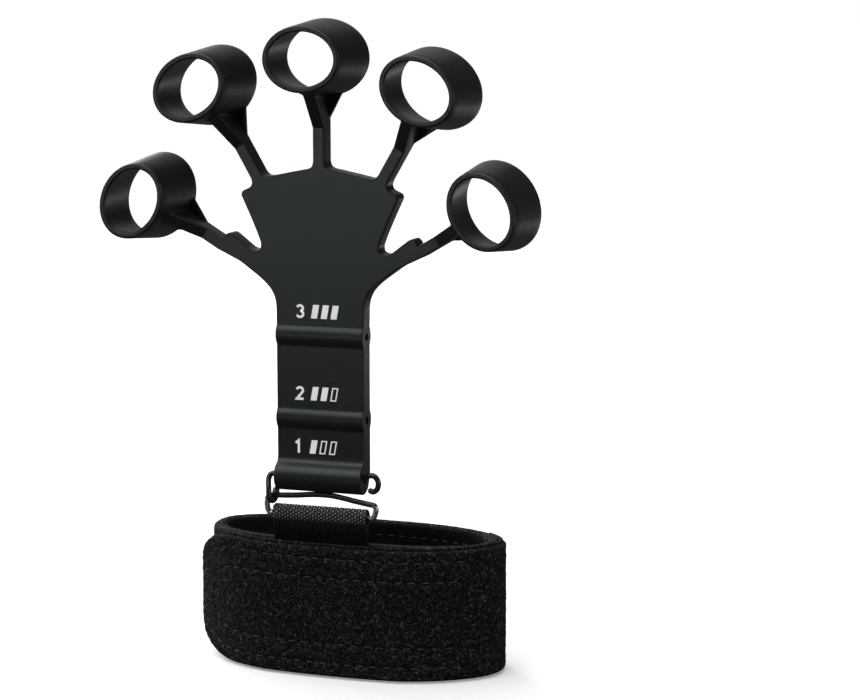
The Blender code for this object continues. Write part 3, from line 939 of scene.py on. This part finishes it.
def strap_points(angles, offsets):
    """(x, y) on the band's oval at angles in degrees, moved outwards by offsets."""
    a = np.radians(angles)
    c, s = np.cos(a), np.sin(a)
    power = 2.0 / STRAP_POWER
    x = STRAP_HALF[0] * np.sign(c) * np.abs(c) ** power
    y = STRAP_HALF[1] * np.sign(s) * np.abs(s) ** power
    grow = STRAP_POWER - 1.0
    nx = np.sign(x) * (np.abs(x) / STRAP_HALF[0]) ** grow / STRAP_HALF[0]
    ny = np.sign(y) * (np.abs(y) / STRAP_HALF[1]) ** grow / STRAP_HALF[1]
    size = np.hypot(nx, ny)
    return np.stack([STRAP_CENTRE[0] + x + nx / size * offsets, STRAP_CENTRE[1] + y + ny / size * offsets], -1)


def walk(start, end, count=6000):
    """Dense angles round the band with the distance walked from the start."""
    angles = np.linspace(start, end, count)
    steps = np.diff(strap_points(angles, 0.0), axis=0)
    return angles, np.concatenate([[0.0], np.cumsum(np.hypot(steps[:, 0], steps[:, 1]))])


def flap_gap(share):
    right, front, left = FLAP_GAPS
    bulge = 0.5 - 0.5 * np.cos(math.tau * np.clip((share - 0.08) / 0.84, 0.0, 1.0))
    base = right + (left - right) * share
    return base + (front - base) * np.minimum(1.0, 1.35 * bulge)


def band_layer(name, profile, step, bumpy, mats, body_nodes, angle=50.0):
    """A closed layer of the band from an (offset, z) loop; bumpy gives each profile point's fuzz height."""
    angles, walked = walk(0.0, 360.0)
    count = int(walked[-1] / step)
    at = np.interp(np.arange(count) * walked[-1] / count, walked, angles)
    profile = np.array(profile, float)
    rough = np.array([b for b in bumpy], float)
    heights = fuzz((count, len(profile)), 1, (True, True)) * rough[None, :]
    sway = 0.12 * np.sin(np.radians(at) * 3 + 0.6) + 0.07 * np.sin(np.radians(at) * 7)
    out, _ = np.zeros((count, len(profile), 3)), None
    for j, (offset, z) in enumerate(profile):
        out[:, j, :2] = strap_points(at, offset + heights[:, j])
        edge = smoothstep(abs(z - STRAP_TOP / 2), 16.0, 20.3) * (1 if z > 20 else 0)
        out[:, j, 2] = z + sway * edge * 0.8 + heights[:, j] * 0.3 * edge
    points = out.reshape(-1, 3)
    points[:, 2] = np.maximum(points[:, 2], 0.0)
    obj = add_mesh(name, points, grid_faces(count, len(profile), True, True), mats, angle)
    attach(obj, "strap")
    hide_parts(*body_nodes)
    return obj


def pile_profile():
    """Outer wall, rolled over the foam at the top and bottom, and back along the inside of the pile."""
    rows = np.linspace(1.2, STRAP_TOP - 1.2, 88)
    loop = [(0.0, z, 0.07) for z in rows]
    for a in np.radians([25, 50, 75, 95, 120]):
        loop.append((-0.9 + 0.9 * math.cos(a), STRAP_TOP - 1.0 + 0.9 * math.sin(a), 0.06))
    loop += [(-1.9, STRAP_TOP - 0.05, 0.05), (-2.6, STRAP_TOP - 0.15, 0.05), (-3.05, STRAP_TOP - 0.45, 0.03),
             (-3.1, STRAP_TOP - 0.7, 0.0), (-1.15, STRAP_TOP - 0.75, 0.0), (-1.05, STRAP_TOP - 1.6, 0.0),
             (-1.05, 20.0, 0.0), (-1.05, 1.6, 0.0), (-1.15, 0.75, 0.0), (-3.1, 0.7, 0.0), (-3.05, 0.35, 0.0),
             (-2.6, 0.08, 0.0), (-1.9, 0.02, 0.0)]
    for a in np.radians([-120, -95, -75, -50, -25]):
        loop.append((-0.9 + 0.9 * math.cos(a), 1.0 + 0.9 * math.sin(a), 0.04))
    return [(o, z) for o, z, _ in loop], [b for _, _, b in loop]


def lining_profile():
    rows = np.linspace(STRAP_TOP - 1.0, 1.0, 46)
    loop = [(-3.35, z) for z in (1.0, 20.0, STRAP_TOP - 1.0)]
    loop += [(-3.4, STRAP_TOP - 0.45), (-3.6, STRAP_TOP - 0.25), (-3.9, STRAP_TOP - 0.4)]
    loop += [(-4.05 + 0.22 * math.exp(-((z - 36.2) / 0.8) ** 2), z) for z in rows]
    loop += [(-3.9, 0.4), (-3.6, 0.2), (-3.4, 0.45)]
    return loop, [0.015 if o < -3.9 else 0.0 for o, _ in loop]


def foam_profile():
    rows = list(np.linspace(0.9, STRAP_TOP - 0.9, 12))
    loop = [(-1.15, z) for z in rows] + [(-1.5, STRAP_TOP - 0.85)] + [(-2.9, STRAP_TOP - 0.85)]
    loop += [(-3.2, z) for z in rows[::-1]] + [(-2.9, 0.85), (-1.5, 0.85)]
    return loop, [0.03] * len(loop)


class Flap:
    """The overlapping flap as a chart: s along the strap from its sewn root, z up."""

    def __init__(self):
        self.angles, self.walked = walk(FLAP_ROOT, FLAP_END)
        self.length = self.walked[-1]
        self.hinge = np.interp(-FLAP_START, -self.angles, self.walked)
        self.low, self.high = FLAP_LOW, FLAP_HIGH

    def gap(self, s):
        angle = np.interp(s, self.walked, self.angles)
        share = (angle - FLAP_START) / (FLAP_END - FLAP_START)
        tucked = 0.12 + (FLAP_GAPS[0] - 0.12) * smoothstep(s, 2.0, self.hinge)
        return np.where(share > 0.0, flap_gap(np.maximum(share, 0.0)), tucked)

    def point(self, s, z, lift):
        """Points on the flap, lifted from its inner face."""
        angle = np.interp(s, self.walked, self.angles)
        flat = strap_points(angle, self.gap(s) + lift)
        return np.concatenate([flat, np.broadcast_to(z, angle.shape)[..., None]], -1)

    def thick(self, s):
        """Thickness away from the outline: a single pressed layer at the sewn root."""
        return 1.0 + (FLAP_THICK - 1.0) * (0.35 + 0.65 * smoothstep(s, 0.0, self.hinge))

    def top(self, s):
        """The flap's upper edge sinks to the band's where it is sewn down."""
        return self.high - 1.0 * (1.0 - smoothstep(s, 3.0, self.hinge + 6.0))

    def drop(self, s):
        """How far the rounded far corners pull in the top and bottom edges."""
        along, across = FLAP_CORNER
        into = np.clip(1.0 - (self.length - s) / along, 0.0, 1.0)
        return across * (1.0 - np.sqrt(np.maximum(1.0 - into ** 2, 0.0)))

    def edge_distance(self, s, z):
        """Distance from a point to the flap's outline."""
        along, across = FLAP_CORNER
        near = np.minimum(np.minimum(z - self.low, self.top(s) - z), s)
        dx = np.maximum(s - (self.length - along), 0.0) / along
        dz = np.maximum(np.maximum(self.low + across - z, z - (self.high - across)), 0.0) / across
        out = np.hypot(dx, dz)
        scale = np.where(out > 0.0, out / np.maximum(np.hypot(dx / along, dz / across), 1e-9), along)
        corner = (1.0 - out) * scale
        return np.where(dx > 0.0, np.minimum(near, corner), near)


def flap_outline_row(flap, inset, radius, step):
    """(s, z) along a row of stitching that follows the flap's outline at an inset."""
    start = flap.hinge + 9.0 + inset * 0.3
    far = flap.length - inset
    low, high = flap.low + inset, flap.high - inset
    path = [(start, high)]
    along, across = radius
    path += [(far - along + along * math.cos(a), high - across + across * math.sin(a))
             for a in np.radians(np.linspace(90.0, 0.0, 10))]
    path += [(far - along + along * math.cos(a), low + across + across * math.sin(a))
             for a in np.radians(np.linspace(0.0, -90.0, 10))]
    path.append((start, low))
    return resample(path, step, False)


def channel(s, z, rows):
    """Depth of the grooves that the stitching pulls into a surface."""
    depth = np.zeros_like(s)
    for row in rows:
        for a, b in zip(row[:-1], row[1:]):
            near = (np.abs(s - (a[0] + b[0]) / 2) < 3.5) & (np.abs(z - (a[1] + b[1]) / 2) < 3.5)
            if not near.any():
                continue
            ab = b - a
            t = np.clip(((s[near] - a[0]) * ab[0] + (z[near] - a[1]) * ab[1]) / (ab @ ab), 0.0, 1.0)
            d = np.hypot(s[near] - a[0] - ab[0] * t, z[near] - a[1] - ab[1] * t)
            depth[near] = np.maximum(depth[near], np.exp(-(d / 0.55) ** 2))
    return depth


def flap_rows(flap):
    return [flap_outline_row(flap, 4.4, (15.0, 11.0), 1.0), flap_outline_row(flap, 10.4, (9.0, 7.0), 1.0)]


def flap_panel(flap, mats):
    """The flap: two faces over one chart, meeting in a rounded edge, the top edge showing two layers."""
    length, corner = flap.length, FLAP_CORNER[0]
    start = np.array([0.0, 0.05, 0.15, 0.32, 0.55])
    body = np.arange(0.85, length - corner, 0.30)
    bend = length - corner + corner * np.sin(np.radians(np.linspace(1.2, 89.4, 72)))
    s = np.concatenate([start, body, bend, [length]])
    rim = [0.0, 0.05, 0.15, 0.32, 0.5, 0.75, 0.9, 1.0, 1.15, 1.35, 1.6]
    tall = flap.high - flap.low
    inner_rows = np.linspace(1.9, tall - 1.9, 124)
    base = np.concatenate([rim, inner_rows, tall - np.array(rim[::-1])])
    drop = flap.drop(s)
    height = flap.top(s) - flap.low - 2 * drop
    z = np.empty((len(s), len(base)))
    for i in range(len(s)):
        share = base / tall
        plain = share * height[i]
        near = np.minimum(base, tall - base)
        fixed = np.where(base < tall / 2, near, height[i] - near)
        keep = 1.0 - smoothstep(near, 1.6, 5.5)
        z[i] = flap.low + drop[i] + plain * (1 - keep) + fixed * keep
    ss = np.repeat(s[:, None], len(base), axis=1)
    d = np.maximum(flap.edge_distance(ss, z), 0.0)
    top = smoothstep(z, 33.0, 38.0) * (1 - smoothstep(ss, length - corner - 3, length - 4))
    first = 0.30 + 0.66 * top
    soft = 0.5 + 0.5 * np.sqrt(np.clip(1.0 - (1.0 - d / 0.5) ** 2, 0.0, 1.0)) * (d < 0.5) + 0.5 * (d >= 0.5)
    dip = -0.22 * np.exp(-((d - first) / 0.13) ** 2)
    rise = np.clip((d - first) / 0.85, 0.0, 1.0)
    upper = flap.thick(ss) - 1.0
    outer = np.minimum(soft, 1.0) + dip * (d > 0.02) + upper * np.sqrt(1.0 - (1.0 - rise) ** 2)
    inner = 0.5 - 0.5 * np.where(d < 0.5, np.sqrt(np.clip(1.0 - (1.0 - d / 0.5) ** 2, 0.0, 1.0)), 1.0)
    grooves = channel(ss, z, flap_rows(flap))
    wave = 0.16 * np.sin(ss / 9.0 + 0.4) * np.sin(z / 13.0) + 0.10 * np.sin(ss / 4.3) * np.sin(z / 7.0 + 1.0)
    cover = smoothstep(d, 0.2, 1.4)
    rough = 0.062 * fuzz(ss.shape) + 0.05 * fuzz(ss.shape, 3)
    outer = outer - 0.30 * grooves * cover + (rough * (0.35 + 0.65 * cover)) * (d > 0.01) + 0.5 * wave * cover
    inner = inner + 0.02 * fuzz(ss.shape, 2) * (d > 0.3)
    outer[d <= 0.0] = inner[d <= 0.0] = 0.5
    rows, cols = ss.shape
    front = flap.point(ss, z, outer).reshape(-1, 3)
    back = flap.point(ss, z, inner).reshape(-1, 3)
    index = np.arange(rows * cols).reshape(rows, cols)
    lower = index.copy() + rows * cols
    border = np.zeros((rows, cols), bool)
    border[0, :] = border[-1, :] = border[:, 0] = border[:, -1] = True
    lower[border] = index[border]
    a, b = index[:-1, :-1], index[:-1, 1:]
    c, e = index[1:, 1:], index[1:, :-1]
    faces = np.stack([a, b, c, e], -1).reshape(-1, 4).tolist()
    a2, b2, c2, e2 = lower[:-1, :-1], lower[:-1, 1:], lower[1:, 1:], lower[1:, :-1]
    under = np.stack([a2, e2, c2, b2], -1).reshape(-1, 4).tolist()
    points = np.vstack([front, back])
    used = np.unique(np.array(faces + under).ravel())
    remap = np.full(len(points), -1)
    remap[used] = np.arange(len(used))
    all_faces = remap[np.array(faces + under)].tolist()
    obj = add_mesh("strap_flap_panel", points[used], all_faces, mats, 70.0)
    kinds = np.zeros(len(all_faces), np.int32)
    kinds[len(faces):] = 1
    obj.data.polygons.foreach_set("material_index", kinds)
    low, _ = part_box("strap_flap")
    pivot = Vector((*(strap_points(np.array([FLAP_START]), FLAP_GAPS[0] + FLAP_THICK / 2)[0] * MM), low.z))
    pivot.y += FRONT * MM
    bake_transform(obj)
    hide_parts("strap_flap")
    return obj


def stitches(name, rows, surface, mat, body, sink=0.0, length=2.1, pitch=3.9, radius=0.17):
    """Short thread capsules along rows of chart points; surface(s, z, lift) gives their places."""
    points, faces = [], []
    shape = [(-0.5, 0.35, -0.10), (-0.36, 0.85, 0.05), (-0.12, 1.0, 0.12), (0.12, 1.0, 0.12),
             (0.36, 0.85, 0.05), (0.5, 0.35, -0.10)]
    turn = np.radians(np.arange(0, 360, 45))
    for row in rows:
        row = np.asarray(row, float)
        walked = np.concatenate([[0.0], np.cumsum(np.linalg.norm(np.diff(row, axis=0), axis=1))])
        at = 0.6
        while at + length < walked[-1]:
            size = length * (0.9 + 0.2 * rng.random())
            tilt = 0.16 * (rng.random() - 0.5)
            sunk = sink * (0.2 + 0.8 * rng.random())
            centre = np.array([np.interp(at + size / 2, walked, row[:, k]) for k in (0, 1)])
            ahead = np.array([np.interp(at + size / 2 + 0.3, walked, row[:, k]) for k in (0, 1)]) - centre
            ahead /= np.linalg.norm(ahead)
            cross = np.array([-ahead[1], ahead[0]])
            start = len(points)
            for along, thick, lift in shape:
                middle = centre + ahead * along * size + cross * tilt * along * size
                for a in turn:
                    side = middle + cross * radius * thick * math.cos(a)
                    points.append(surface(side[0], side[1], lift - sunk + radius * thick * math.sin(a)))
            rings, sides = len(shape), len(turn)
            faces += grid_faces(rings, sides, False, True, start)
            faces.append(list(range(start, start + sides)))
            faces.append(list(range(start + (rings - 1) * sides, start + rings * sides)))
            at += pitch * (0.94 + 0.12 * rng.random())
    obj = add_mesh(name, np.array(points), faces, [mat], 60.0)
    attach(obj, body)
    return obj


def hook_tape(flap, tape, mat):
    """Hook tape on the flap's inner face: a thin backing and rows of small hooks."""
    start = np.interp(0.80, [0, 1], [flap.hinge, flap.length])
    share = lambda k: np.interp(FLAP_START + (FLAP_END - FLAP_START) * k, flap.angles[::-1], flap.walked[::-1])
    start, end = share(0.80), share(0.97)
    low, high, corner = 5.0, 36.0, 6.0
    s = np.linspace(start, end, 46)
    z = np.linspace(0.0, 1.0, 40)
    ss = np.repeat(s[:, None], len(z), 1)
    into = np.clip(corner - (end - s), 0.0, corner)
    drop = corner - np.sqrt(corner ** 2 - into ** 2)
    drop = np.minimum(drop, 5.0)
    zz = low + drop[:, None] + (high - low - 2 * drop[:, None]) * z[None, :]
    outer = flap.point(ss, zz, np.full(ss.shape, 0.06))
    inner = flap.point(ss, zz, np.full(ss.shape, -0.50) + 0.02 * fuzz(ss.shape, 1))
    rows, cols = ss.shape
    ring = [(0, j) for j in range(cols)] + [(i, cols - 1) for i in range(1, rows)]
    ring += [(rows - 1, j) for j in range(cols - 2, -1, -1)] + [(i, 0) for i in range(rows - 2, 0, -1)]
    faces = grid_faces(rows, cols) + grid_faces(rows, cols, start=rows * cols)
    index = [i * cols + j for i, j in ring]
    for a, b in zip(index, index[1:] + index[:1]):
        faces.append([a, b, b + rows * cols, a + rows * cols])
    points = [outer.reshape(-1, 3), inner.reshape(-1, 3)]
    count = 2 * rows * cols
    shape = [(0.0, 0.0, 0.16), (0.0, 0.28, 0.11), (0.05, 0.46, 0.10), (0.17, 0.56, 0.09), (0.30, 0.50, 0.07),
             (0.34, 0.40, 0.04)]
    turn = np.radians(np.arange(0, 360, 60))
    pick = np.arange(low + 1.2, high - 1.0, 1.05)
    for i, at in enumerate(np.arange(start + 1.0, end - 0.8, 1.05)):
        lean = 1.0 if i % 2 else -1.0
        for height in pick + (0.5 if i % 2 else 0.0):
            near = corner - math.sqrt(max(corner ** 2 - max(corner - (end - at), 0.0) ** 2, 0.0))
            if not low + min(near, 5.0) + 0.7 < height < high - min(near, 5.0) - 0.7:
                continue
            rings = []
            for z_off, rise, r in shape:
                side_s = at + r * np.cos(turn)
                side_z = height + lean * z_off + r * np.sin(turn) * (1.0 if rise < 0.4 else 0.4)
                lift = -0.46 - rise - (r * np.sin(turn) * 0.7 if rise > 0.4 else 0.0)
                rings.append(flap.point(side_s, side_z, lift))
            rings = np.array(rings)
            faces += grid_faces(len(shape), len(turn), False, True, count)
            last = count + (len(shape) - 1) * len(turn)
            faces.append(list(range(last, last + len(turn))))
            faces.append(list(range(count, count + len(turn))))
            points.append(rings.reshape(-1, 3))
            count += rings.shape[0] * rings.shape[1]
    obj = add_mesh("hook_tape", np.vstack(points), faces, [mat], 50.0)
    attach(obj, "flap")
    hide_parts("hook_patch")


def strap(pile, foam, lining, thread, hook):
    loop, bumpy = pile_profile()
    band_layer("strap_band_pile", loop, 0.36, bumpy, [pile], ["strap_pile"], 70.0)
    loop, bumpy = foam_profile()
    band_layer("strap_band_foam", loop, 1.2, bumpy, [foam], ["strap_foam"])
    loop, bumpy = lining_profile()
    band_layer("strap_band_lining", loop, 0.8, bumpy, [lining], ["strap_lining"], 60.0)
    flap = Flap()
    flap_panel(flap, [pile, lining])

    def on_flap(s, z, lift):
        return flap.point(np.array(s), np.array(z), flap.thick(s) - 0.10 + lift)

    stitches("flap_stitching", flap_rows(flap), on_flap, thread, "flap", 0.26)
    hook_tape(flap, None, hook)
    angles, walked = walk(14.0, 100.0)

    def lining_point(s, z, lift):
        flat = strap_points(np.array(np.interp(s, walked, angles)), -3.86 - lift)
        return np.array([flat[0], flat[1], z])

    row = [[(0.0, 36.2), (walked[-1], 36.2)]]
    stitches("lining_stitching", row, lining_point, thread, "strap")
    seam = [[(2.4, 4.0), (2.4, 37.5)]]
    stitches("flap_root_stitching", seam, on_flap, thread, "strap", 0.2)


# ---------------------------------------------------------------- stage

def area_light(name, place, target, size, power, color=(1.0, 1.0, 1.0)):
    data = bpy.data.lights.new(name, "AREA")
    data.shape = "RECTANGLE"
    data.size, data.size_y = size
    data.energy = power
    data.color = color
    obj = link(bpy.data.objects.new(name, data))
    obj.location = place
    obj.rotation_euler = (Vector(target) - Vector(place)).to_track_quat("-Z", "Y").to_euler()
    obj.visible_camera = False
    return obj


def world_light():
    """Soft grey surroundings, with a white backdrop where the camera looks past the object."""
    world = bpy.data.worlds.new("studio")
    bpy.context.scene.world = world
    world.use_nodes = True
    tree = world.node_tree
    background = tree.nodes["Background"]
    white = tree.nodes.new("ShaderNodeBackground")
    mix = tree.nodes.new("ShaderNodeMixShader")
    path = tree.nodes.new("ShaderNodeLightPath")
    background.inputs["Color"].default_value = (1.0, 1.0, 1.0, 1.0)
    background.inputs["Strength"].default_value = 0.05
    white.inputs["Color"].default_value = (1.0, 1.0, 1.0, 1.0)
    white.inputs["Strength"].default_value = 1.0
    tree.links.new(path.outputs["Is Camera Ray"], mix.inputs[0])
    tree.links.new(background.outputs[0], mix.inputs[1])
    tree.links.new(white.outputs[0], mix.inputs[2])
    tree.links.new(mix.outputs[0], tree.nodes["World Output"].inputs["Surface"])


def stage():
    n = Nodes("floor_pale")
    tone = n.noise(0.004, 2.0)
    seen = n.add("ShaderNodeLightPath").outputs["Is Camera Ray"]
    pale = n.mix(tone, (0.86, 0.86, 0.86), (0.89, 0.89, 0.89))
    reach = n.add("ShaderNodeVectorMath", operation="LENGTH")
    n.put(reach.inputs[0], n.place)
    unseen = n.mix(n.ramp(reach.outputs["Value"], 480.0, 1500.0), (0.040, 0.040, 0.040), (0.115, 0.115, 0.115))
    n.finish(Base_Color=n.mix(seen, unseen, pale), Roughness=0.85, Emission_Color=(1.0, 1.0, 1.0, 1.0),
             Emission_Strength=n.math("MULTIPLY", seen, 0.26))
    bpy.ops.mesh.primitive_plane_add(size=60.0, location=(0.0, 0.0, -0.0002))
    floor = bpy.context.object
    floor.name = "floor"
    floor.data.materials.append(n.mat)
    world_light()
    sun = bpy.data.lights.new("sky_panel", "SUN")
    sun.energy = 2.9
    sun.angle = math.radians(75.0)
    link(bpy.data.objects.new("sky_panel", sun)).rotation_euler = (math.radians(14.0), math.radians(-14.0), 0.0)
    area_light("back_top", (-0.42, 1.40, 0.62), (0.0, 0.0, 0.12), (0.75, 0.75), 0.65)
    area_light("low_glow", (0.17, 0.64, 0.004), (0.17, 0.64, 1.0), (0.25, 0.22), 0.35)
    area_light("edge_right", (0.95, -0.22, 0.16), (0.0, 0.0, 0.11), (0.05, 0.5), 2.0)
    area_light("edge_left", (-1.0, 0.26, 0.16), (0.0, 0.0, 0.11), (0.05, 0.5), 2.0)
    area_light("strap_fill", (-0.85, -0.50, 0.08), (0.0, 0.0, 0.02), (0.5, 0.3), 0.6)
    area_light("rear_left", (-0.80, 0.78, 0.55), (0.0, 0.0, 0.10), (0.5, 0.5), 7.0)
    spot = bpy.data.lights.new("hand_spot", "SPOT")
    spot.energy = 16.0
    spot.shadow_soft_size = 0.12
    spot.spot_size = math.radians(8.6)
    spot.spot_blend = 1.0
    obj = link(bpy.data.objects.new("hand_spot", spot))
    obj.location = (-0.40, -1.15, 0.07)
    obj.rotation_euler = (Vector((0.0, 0.0, 0.179)) - obj.location).to_track_quat("-Z", "Y").to_euler()
    bpy.context.scene.view_settings.view_transform = "Standard"
    camera = bpy.data.cameras.new("camera")
    camera.lens = 97.44
    camera.sensor_width = 36.0
    camera.clip_start, camera.clip_end = 0.01, 100.0
    obj = link(bpy.data.objects.new("camera", camera))
    obj.location = (0.2426, -0.65145, 0.20895)
    obj.rotation_euler = (math.radians(80.91), 0.0, math.radians(18.0))
    bpy.context.scene.camera = obj


# ---------------------------------------------------------------- assembly

def build():
    silicone = silicone_material()
    palm(silicone)
    stem(silicone)
    fingers(silicone)
    level_marks(print_material())
    buckle_ring(wire_material("ring_wire", 14.6, 17.2, 3.0))
    latch(wire_material("latch_wire_coat", 30.0, 40.0, 11.0))
    webbing(webbing_material())
    strap(pile_material(), foam_material(), lining_material(), thread_material(), hook_material())
    stage()


build()
